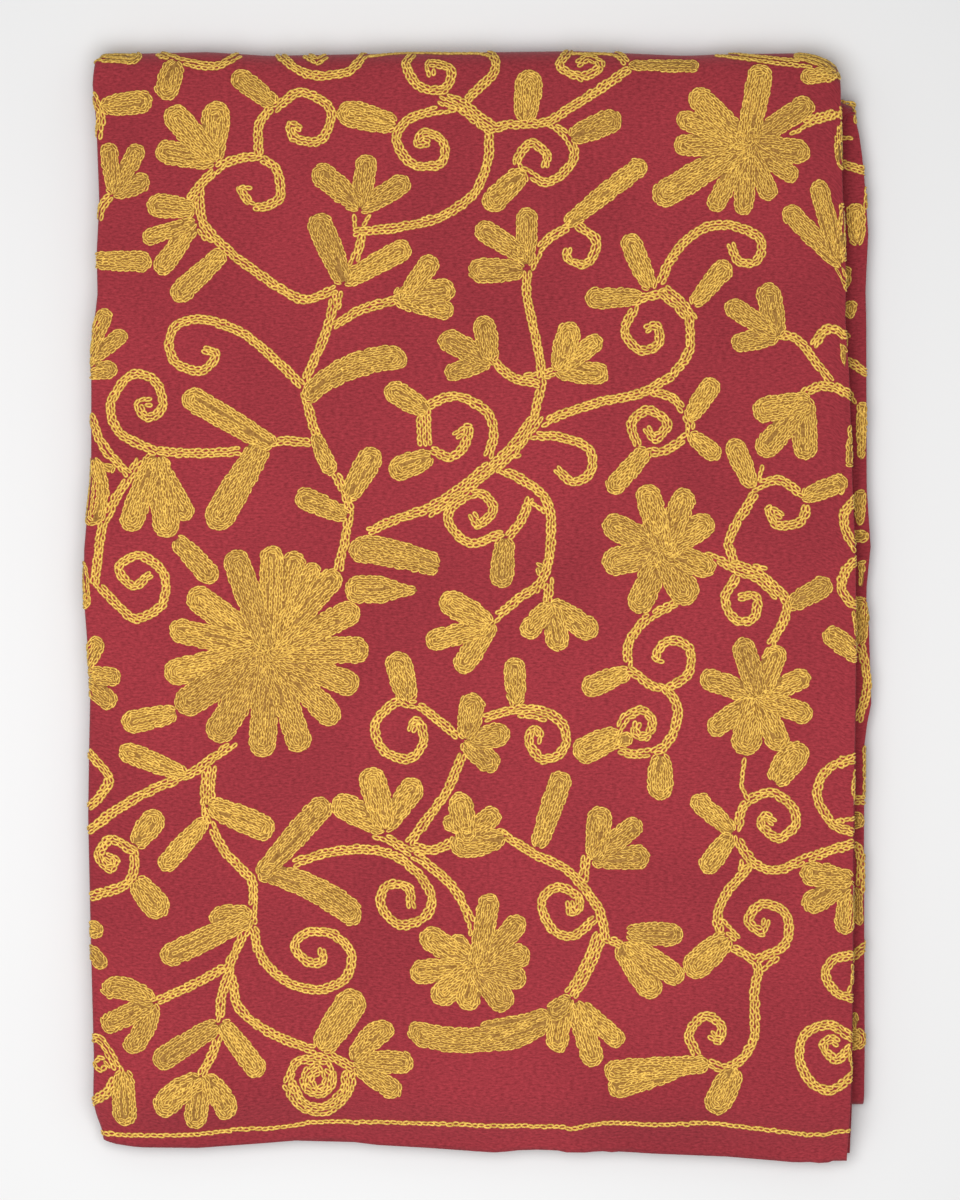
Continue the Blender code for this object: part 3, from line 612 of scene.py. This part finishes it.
def fold_stations(centre, radius, bulge, start_up, side, edges):
    """Stations round a hidden fold of the strip, as in the CAD."""
    angle = math.pi * np.arange(HIDDEN_FOLD_CELLS) / HIDDEN_FOLD_CELLS
    out_y, out_z = bulge * np.sin(angle), start_up * np.cos(angle)
    facing = side * start_up
    flat = np.ones_like(angle)
    left, right = edges
    return (
        centre[0] + radius * out_y,
        centre[1] + radius * out_z,
        facing * out_y,
        facing * out_z,
        left * flat,
        right * flat,
    )


def sheet_stations():
    """All stations of the sheet, from the front hem to the hidden inner hem."""
    last_y = HEM_Y + INNER_HEM_SHORT
    along = np.concatenate(
        (
            even_steps(HEM_Y, DROOP_START, HEM_CELL),
            even_steps(DROOP_START, TOP_CENTRE, FINE),
            even_steps(TOP_CENTRE, NOSE_END, TOP_FOLD_CELL),
            even_steps(NOSE_END, UNDER_END, MIDDLING),
        )
    )
    shown_y = even_steps(BOTTOM_CENTRE, INNER_CENTRE, MIDDLING)
    under_y = np.concatenate(
        (
            even_steps(INNER_CENTRE, DROOP_START, MIDDLING),
            even_steps(DROOP_START, last_y, HEM_CELL),
            (last_y,),
        )
    )
    bottom = (BOTTOM_CENTRE, BOTTOM_FOLD_Z)
    inner = (INNER_CENTRE, INNER_FOLD_Z)
    bottom_edges = edges_at(SHOWN_EDGES, BOTTOM_FOLD_Y)
    inner_edges = edges_at(SHOWN_EDGES, INNER_TOP_Y)
    runs = (
        front_station(along),
        fold_stations(bottom, TIGHT_FOLD, -1, -1, -1, bottom_edges),
        flat_station(SHOWN_EDGES, SHOWN, 1, shown_y),
        fold_stations(inner, TIGHT_FOLD, 1, -1, 1, inner_edges),
        flat_station(UNDER_FRONT_EDGES, UNDER_FRONT, -1, under_y),
    )
    return [np.concatenate(values) for values in zip(*runs)]


def lengths_along(points):
    gaps = np.linalg.norm(np.diff(points, axis=0), axis=1)
    return np.concatenate(((0.0,), np.cumsum(gaps)))


def grid_quads(index):
    """The quads of a grid of numbered points."""
    corners = (index[:-1, :-1], index[:-1, 1:], index[1:, 1:], index[1:, :-1])
    return np.stack([corner.reshape(-1) for corner in corners], axis=1)


def make_mesh(name, points, faces, face_uvs, material):
    """An object from its points, its quads and the UV of each quad's corners."""
    mesh = bpy.data.meshes.new(name)
    mesh.from_pydata(points.tolist(), [], faces.tolist())
    layer = mesh.uv_layers.new(name="UVMap")
    layer.data.foreach_set("uv", face_uvs.reshape(-1).astype(np.float32))
    mesh.shade_smooth()
    mesh.materials.append(material)
    obj = bpy.data.objects.new(name, mesh)
    bpy.context.scene.collection.objects.link(obj)
    return obj


def cotton_sheet(material):
    """The whole cloth as one thin closed sheet, folded in four each way."""
    section = strip_section()
    stations = sheet_stations()
    rows, columns = len(stations[0]), len(section)
    column_stations = [values[:, None] for values in stations]
    sides = []
    for height in (COTTON_FACE, COTTON_BACK):
        x = section[:, 0] + height * section[:, 2]
        n = section[:, 1] + height * section[:, 3]
        sides.append(lay(x[None, :], n[None, :], column_stations).reshape(-1, 3))
    points = np.concatenate(sides)

    far = rows * columns
    index = np.arange(far).reshape(rows, columns)
    face = grid_quads(index)
    back = face[:, ::-1] + far
    loop = np.concatenate((index[0, :-1], index[:-1, -1], index[-1, :0:-1], index[:0:-1, 0]))
    after = np.roll(loop, -1)
    rim = np.stack((after, loop, loop + far, after + far), axis=1)
    faces = np.concatenate((face, back, rim))

    along = lengths_along(np.stack((stations[0], stations[1]), axis=1))
    across = lengths_along(section[:, :2])
    uv = np.stack(np.meshgrid(across, along), axis=-1).reshape(-1, 2) * MM
    face_uvs = np.concatenate((uv, uv))[faces]
    cloth = make_mesh("folded_cotton_sheet", points, faces, face_uvs, material)
    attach(cloth, "root")
    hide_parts("tablecloth")
    return cloth


# Rows of chain stitch, as seen from above


def smooth_line(points, cells=8):
    """A smooth curve through the points."""
    points = np.array(points, float)
    if len(points) == 2:
        return np.linspace(points[0], points[1], cells + 1)
    ends = (2 * points[0] - points[1], 2 * points[-1] - points[-2])
    padded = np.concatenate((ends[:1], points, ends[1:]))
    line = []
    for before, start, end, after in zip(padded, padded[1:], padded[2:], padded[3:]):
        t = (np.arange(cells) / cells)[:, None]
        line.append(
            start
            + 0.5 * t * (end - before)
            + t**2 * (before - 2.5 * start + 2 * end - 0.5 * after)
            + t**3 * (-0.5 * before + 1.5 * start - 1.5 * end + 0.5 * after)
        )
    return np.concatenate(line + [points[-1:]])


def side_by_side(line, rows):
    """Parallel rows on both sides of a line."""
    ahead = np.gradient(line, axis=0)
    ahead /= np.maximum(np.linalg.norm(ahead, axis=1, keepdims=True), 1e-6)
    aside = np.stack((-ahead[:, 1], ahead[:, 0]), axis=1)
    offsets = LINE_STITCH.row_gap * (np.arange(rows) - (rows - 1) / 2)
    return [line + offset * aside for offset in offsets]


def stem_rows(rows, points):
    line = smooth_line(points)
    start = line[0] + (line[0] - line[1]) * STEM_REACH / math.dist(line[0], line[1])
    end = line[-1] + (line[-1] - line[-2]) * STEM_REACH / math.dist(line[-1], line[-2])
    return side_by_side(np.concatenate(((start,), line, (end,))), rows)


class Petal:
    """A leaf or petal: round at its tip and narrower at its foot."""

    def __init__(self, base, tip, width, foot, bend=0.0):
        self.base = np.array(base, float)
        self.length = math.dist(base, tip)
        self.ahead = (np.array(tip, float) - self.base) / self.length
        self.aside = np.array((-self.ahead[1], self.ahead[0]))
        self.half = min(width / 2, MOST_HALF_WIDTH * self.length)
        self.neck = self.length - self.half
        self.bend = bend
        self.foot = foot

    def half_at(self, run):
        grown = smooth_step(run / (GROWN_AT * self.neck))
        grown = self.half * lerp(self.foot, 1.0, grown)
        before = np.clip(1.0 - run / FOOT_ROUND, 0.0, 1.0)
        grown = grown * np.sqrt(1.0 - FOOT_PINCH * before**2)
        past = np.clip((run - self.neck) / self.half, 0.0, 1.0)
        return np.where(run > self.neck, self.half * np.sqrt(1 - past**2), grown)

    def line(self, run, side):
        share = np.clip(run / self.length, 0.0, 1.0)
        side = side + self.bend * 4 * share * (1 - share)
        return self.base + run[:, None] * self.ahead + side[:, None] * self.aside

    def row_at(self, inset):
        """A row from the foot round the tip and back, this far inside the outline."""
        run = np.linspace(0.0, self.neck, SIDE_POINTS)
        side = self.half_at(run) - inset
        run, side = run[side > LEAST_SIDE], side[side > LEAST_SIDE]
        angle = np.radians(np.linspace(90.0, -90.0, TIP_POINTS)[1:-1])
        round_run = self.neck + (self.half - inset) * np.cos(angle)
        round_side = (self.half - inset) * np.sin(angle)
        run_all = np.concatenate((run, round_run, run[::-1]))
        side_all = np.concatenate((side, round_side, -side[::-1]))
        return self.line(run_all, side_all)

    def rows(self):
        """Rows that follow the outline, one inside the other."""
        gap = FILL_STITCH.row_gap
        rows = []
        inset = FIRST_INSET * gap
        while inset < self.half - LAST_INSET * gap:
            rows.append(self.row_at(inset))
            inset += gap
        if self.half - inset > -MIDDLE_ROOM * gap:
            run = np.linspace(0.0, self.neck, MIDDLE_POINTS)
            rows.append(self.line(run, 0.0 * run))
        return rows

    def pad(self):
        """Left edge, middle and right edge of the yarn's dense underside."""
        count = max(LEAST_PAD_POINTS, round(self.length / PAD_STEP))
        run = np.linspace(0.0, self.length - PAD_INSET, count)
        side = np.maximum(self.half_at(run) - PAD_INSET, LEAST_SIDE)
        return [self.line(run, share * side) for share in (1.0, 0.0, -1.0)]


def leaf_petals(leaves, foot=LEAF_FOOT):
    return [
        Petal((base_x, base_y), (tip_x, tip_y), width, foot, *bend)
        for base_x, base_y, tip_x, tip_y, width, *bend in leaves
    ]


def flower_petals():
    return [
        Petal((centre_x, centre_y), (tip_x, tip_y), width, FLOWER_FOOT)
        for centre_x, centre_y, petals in FLOWERS
        for tip_x, tip_y, width in petals
    ]


def all_rows(petals):
    return [row for petal in petals for row in petal.rows()]


def all_stem_rows(stems):
    return [row for rows, *points in stems for row in stem_rows(rows, points)]


# Links of chain


def wool_piece(name, points, faces, face_uvs, material):
    piece = make_mesh(name, points, faces, face_uvs, material)
    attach(piece, "root")
    return piece


def links_on(row, stitch, chance):
    """Links along one row: across, along, direction, length and width share."""
    run = lengths_along(row)
    count = round(run[-1] / stitch.pitch)
    if count < 1:
        return np.empty((0, 5))
    pitch = run[-1] / count
    place = (np.arange(count) + 0.5) * pitch
    place = place + chance.uniform(-LINK_SLIDE, LINK_SLIDE, count)

    def at(where):
        return np.stack([np.interp(where, run, row[:, axis]) for axis in (0, 1)], axis=1)

    start, middle, end = at(place - 0.5 * pitch), at(place), at(place + 0.5 * pitch)
    step = end - start
    angle = np.arctan2(step[:, 1], step[:, 0]) + chance.normal(0.0, LINK_TURN, count)
    length = (pitch + LINK_OVERLAP) * chance.uniform(*LENGTH_SHARES, count)
    width = chance.uniform(*WIDTH_SHARES, count)
    middle = middle + chance.normal(0.0, LINK_STRAY, (count, 2))
    return np.column_stack((middle, angle, length, width))


def spread_links(rows, stitch, taken, chance):
    """Links on all rows, without those on top of a link already there."""
    kept = []
    for row in rows:
        for link in links_on(row, stitch, chance):
            cell_x, cell_y = int(link[0] // NEAR_CELL), int(link[1] // NEAR_CELL)
            near = [
                place
                for step_x in (-1, 0, 1)
                for step_y in (-1, 0, 1)
                for place in taken.get((cell_x + step_x, cell_y + step_y), ())
            ]
            if any(math.dist(place, link[:2]) < stitch.nearest for place in near):
                continue
            taken.setdefault((cell_x, cell_y), []).append((link[0], link[1]))
            kept.append(link)
    return np.array(kept)


def chain_piece(name, links, stitch, place_on, corners, material):
    """One object of many links, each a narrow ring of raised yarn."""
    across, along, angle, length, width = (column[:, None] for column in links.T)
    turn = 2 * math.pi * np.arange(corners)[None, :] / corners
    reach = length / 2
    gap = stitch.half_gap * width * lerp(NARROW_END, 1.0, (1 + np.cos(turn)) / 2)
    line_a, line_b = reach * np.cos(turn), gap * np.sin(turn)
    out_a, out_b = gap * np.cos(turn), reach * np.sin(turn)
    size = np.maximum(np.hypot(out_a, out_b), 1e-6)
    out_a, out_b = out_a / size, out_b / size
    crown = YARN_CROWN - LINK_SLOPE * (1 + np.cos(turn)) / 2 + 0.0 * length
    foot = YARN_FOOT + 0.0 * crown
    points = []
    for offset, height in ((0.5, foot), (0.0, crown), (-0.5, foot)):
        a = line_a + offset * stitch.yarn * out_a
        b = line_b + offset * stitch.yarn * out_b
        point_across = across + a * np.cos(angle) - b * np.sin(angle)
        point_along = along + a * np.sin(angle) + b * np.cos(angle)
        points.append(place_on(point_across, point_along, height))
    points = np.stack(points, axis=2).reshape(-1, 3)

    here = np.arange(corners)
    after = (here + 1) % corners
    lanes = [
        (3 * here + lane, 3 * after + lane, 3 * after + lane + 1, 3 * here + lane + 1)
        for lane in (0, 1)
    ]
    ring = np.concatenate([np.stack(lane, axis=1) for lane in lanes])
    first = 3 * corners * np.arange(len(links))
    faces = (first[:, None, None] + ring[None]).reshape(-1, 4)

    yarn_u = np.concatenate([np.stack((here, here + 1, here + 1, here), axis=1)] * 2)
    # v runs across the yarn, foot to crown to foot: the wool turns it into painted shade at the
    # foot and a painted highlight on the crown
    painted_shade_v = np.repeat(((0.0, 0.0, 0.5, 0.5), (0.5, 0.5, 1.0, 1.0)), corners, axis=0)
    ring_uv = np.stack((yarn_u / corners, painted_shade_v), axis=-1)
    face_uvs = np.broadcast_to(ring_uv[None], (len(links),) + ring_uv.shape).copy()
    face_uvs[..., 0] += np.arange(len(links))[:, None, None] * LINK_UV_STEP
    return wool_piece(name, points, faces, face_uvs, material)


def on_underside(links):
    """The same links mirrored over the top fold, on the face below."""
    turned = links.copy()
    turned[:, 1] = 2 * NOSE_MIDDLE - links[:, 1]
    turned[:, 2] = -links[:, 2]
    return turned[turned[:, 1] < UNDER_END]


def pad_piece(name, petals, edges, place_on, material):
    """The dense yarn under the fills, one low strip for each petal, coloured dark brown as painted
    shade between the links.
    """
    points, faces = [], []
    first = 0
    for number, petal in enumerate(petals):
        flat = [flat_places(line, edges) for line in petal.pad()]
        flat = np.stack(flat, axis=1)
        count = len(flat)
        height = PAD_HEIGHT + PAD_RISE * (number % PAD_LEVELS)
        points.append(place_on(flat[..., 0], flat[..., 1], height).reshape(-1, 3))
        faces.append(grid_quads(first + np.arange(3 * count).reshape(count, 3)))
        first += 3 * count
    points, faces = np.concatenate(points), np.concatenate(faces)
    # Painted shade: the pads take the wool's dark foot colour
    face_uvs = np.full((len(faces), 4, 2), PAD_SHADE_UV)
    return wool_piece(name, points, faces, face_uvs, material)


def stitched(petals, lines, edges, chance):
    """Links of the fills, then of the lines, with none on top of another."""
    taken = {}
    for stitch, rows in ((FILL_STITCH, all_rows(petals)), (LINE_STITCH, lines)):
        flat = [flat_places(row, edges) for row in rows]
        yield stitch, spread_links(flat, stitch, taken, chance)


def front_embroidery(material, chance):
    """The stitches on the front, and the same ones on the underside."""
    petals = flower_petals() + leaf_petals(LEAVES)
    petals += leaf_petals(POINTED_LEAVES, POINTED_FOOT)
    lines = [smooth_line(HEM_CHAIN)] + all_stem_rows(STEMS)
    pieces = [pad_piece("wool_painted_shade_under_fills", petals, FRONT_EDGES, front_place, material)]
    for stitch, links in stitched(petals, lines, FRONT_EDGES, chance):
        links = links[links[:, 1] < NOSE_MIDDLE]
        parts = (
            ("left", links[links[:, 0] < 0], stitch.corners),
            ("right", links[links[:, 0] >= 0], stitch.corners),
            ("under", on_underside(links), UNDER_CORNERS),
        )
        for part, chosen, corners in parts:
            name = f"chain_stitch_{stitch.kind}_{part}"
            pieces.append(chain_piece(name, chosen, stitch, front_place, corners, material))
    return pieces


def side_embroidery(material, chance):
    """The stitches on the strip that shows past the right edge."""
    petals, lines = leaf_petals(SIDE_LEAVES), all_stem_rows(SIDE_STEMS)
    pieces = [pad_piece("wool_painted_shade_under_side", petals, SHOWN_EDGES, side_place, material)]
    for stitch, links in stitched(petals, lines, SHOWN_EDGES, chance):
        name = f"chain_stitch_{stitch.kind}_side"
        pieces.append(chain_piece(name, links, stitch, side_place, SIDE_CORNERS, material))
    return pieces


def embroidery(material):
    chance = np.random.default_rng(SEED)
    return front_embroidery(material, chance) + side_embroidery(material, chance)


# Materials


def new_material(name, roughness):
    material = bpy.data.materials.new(name)
    material.use_nodes = True
    nodes, links = material.node_tree.nodes, material.node_tree.links
    shader = nodes["Principled BSDF"]
    shader.inputs["Roughness"].default_value = roughness
    shader.inputs["Specular IOR Level"].default_value = 0.2
    return material, nodes, links, shader


def add_noise(nodes, links, vector, scale, detail):
    noise = nodes.new("ShaderNodeTexNoise")
    noise.inputs["Scale"].default_value = scale
    noise.inputs["Detail"].default_value = detail
    links.new(vector, noise.inputs["Vector"])
    return noise


def add_ramp(nodes, links, value, low, high):
    """Colours for a value, between two stops of a place and a colour."""
    ramp = nodes.new("ShaderNodeValToRGB")
    for element, (place, colour) in zip(ramp.color_ramp.elements, (low, high)):
        element.position = place
        element.color = (*colour, 1)
    links.new(value, ramp.inputs["Fac"])
    return ramp.outputs["Color"]


def add_product(nodes, links, first, second):
    both = nodes.new("ShaderNodeMix")
    both.data_type = "RGBA"
    both.blend_type = "MULTIPLY"
    both.inputs["Factor"].default_value = 1.0
    links.new(first, both.inputs["A"])
    links.new(second, both.inputs["B"])
    return both.outputs["Result"]


def cotton_material():
    """Crimson plain weave with a fine rib across the cloth."""
    material, nodes, links, shader = new_material("crimson_cotton_weave", 0.92)
    shader.inputs["Sheen Weight"].default_value = 0.15
    places = nodes.new("ShaderNodeTexCoord")
    rib_map = nodes.new("ShaderNodeMapping")
    rib_map.inputs["Scale"].default_value = (430, 1050, 1)
    links.new(places.outputs["UV"], rib_map.inputs["Vector"])
    rib = add_noise(nodes, links, rib_map.outputs["Vector"], scale=1.0, detail=4.0)
    rib.inputs["Roughness"].default_value = 0.7
    patches = add_noise(nodes, links, places.outputs["Object"], scale=14.0, detail=3.0)
    dark, light = (0.3, (0.2, 0.0165, 0.024)), (0.7, (0.45, 0.046, 0.062))
    rib_colour = add_ramp(nodes, links, rib.outputs["Fac"], dark, light)
    dull, clear = (0.35, (0.86, 0.84, 0.86)), (0.65, (1, 1, 1))
    patch_colour = add_ramp(nodes, links, patches.outputs["Fac"], dull, clear)
    colour = add_product(nodes, links, rib_colour, patch_colour)
    links.new(colour, shader.inputs["Base Color"])
    bump = nodes.new("ShaderNodeBump")
    bump.inputs["Strength"].default_value = 0.35
    bump.inputs["Distance"].default_value = 0.0003
    links.new(rib.outputs["Fac"], bump.inputs["Height"])
    links.new(bump.outputs["Normal"], shader.inputs["Normal"])
    return material


def wool_material():
    """Ochre wool with painted light: a painted highlight where the yarn stands up, painted shade in
    dark brown at its foot.
    """
    material, nodes, links, shader = new_material("ochre_wool_yarn", 0.85)
    shader.inputs["Sheen Weight"].default_value = 0.2
    places = nodes.new("ShaderNodeTexCoord")
    split = nodes.new("ShaderNodeSeparateXYZ")
    links.new(places.outputs["UV"], split.inputs["Vector"])
    painted_shade_mask = nodes.new("ShaderNodeMath")
    painted_shade_mask.operation = "PINGPONG"
    painted_shade_mask.inputs[1].default_value = 0.5
    links.new(split.outputs["Y"], painted_shade_mask.inputs[0])
    # Painted shade, dark brown, at the yarn's foot and a painted highlight, pale ochre, on its
    # crown
    foot, crown = (0.0, (0.22, 0.075, 0.02)), (0.32, (0.98, 0.66, 0.14))
    painted_shade_colour = add_ramp(nodes, links, painted_shade_mask.outputs["Value"], foot, crown)
    tones = add_noise(nodes, links, places.outputs["Object"], scale=800.0, detail=3.0)
    dark, light = (0.34, (0.58, 0.48, 0.36)), (0.64, (1.08, 1.08, 1.08))
    tone_colour = add_ramp(nodes, links, tones.outputs["Fac"], dark, light)
    colour = add_product(nodes, links, painted_shade_colour, tone_colour)
    links.new(colour, shader.inputs["Base Color"])
    return material


# Surroundings


def floor():
    material, nodes, links, shader = new_material("pale_floor", 0.9)
    shader.inputs["Base Color"].default_value = (0.85, 0.85, 0.85, 1)
    bpy.ops.mesh.primitive_plane_add(size=6.0)
    plane = bpy.context.object
    plane.name = "pale_floor"
    plane.data.materials.append(material)
    plane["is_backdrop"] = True


def soft_light():
    """A large lamp above, a little to the left and the front."""
    light = bpy.data.lights.new("soft_above", "AREA")
    light.size = 0.8
    light.energy = 8.9
    lamp = bpy.data.objects.new("soft_above", light)
    lamp.location = (-0.11, -0.11, 1.02)
    direction = -lamp.location.normalized()
    lamp.rotation_euler = direction.to_track_quat("-Z", "Y").to_euler()
    bpy.context.scene.collection.objects.link(lamp)


def soft_room():
    world = bpy.data.worlds.new("soft_room")
    world.use_nodes = True
    sky = world.node_tree.nodes["Background"]
    sky.inputs["Color"].default_value = (1.0, 1.0, 1.0, 1)
    sky.inputs["Strength"].default_value = 0.43
    bpy.context.scene.world = world
    bpy.context.scene.view_settings.view_transform = "Standard"


def camera():
    """Straight above, its frame 480 by 600 mm at the height of the shown face."""
    frame_height, distance, face_height = 0.6, 2.4, 0.023
    middle_x, middle_y = 0.0003, 0.0039
    lens = bpy.data.cameras.new("above")
    lens.sensor_fit = "VERTICAL"
    lens.sensor_height = 24.0
    lens.lens = lens.sensor_height * distance / frame_height
    lens.clip_end = 20.0
    view = bpy.data.objects.new("above", lens)
    view.location = (middle_x, middle_y, distance + face_height)
    bpy.context.scene.collection.objects.link(view)
    bpy.context.scene.camera = view


cloth = cotton_sheet(cotton_material())
stitches = embroidery(wool_material())
floor()
soft_light()
soft_room()
camera()

sizes = {"cad": cad_box, "visual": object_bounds()}
{name: [list(corner) for corner in box] for name, box in sizes.items()}
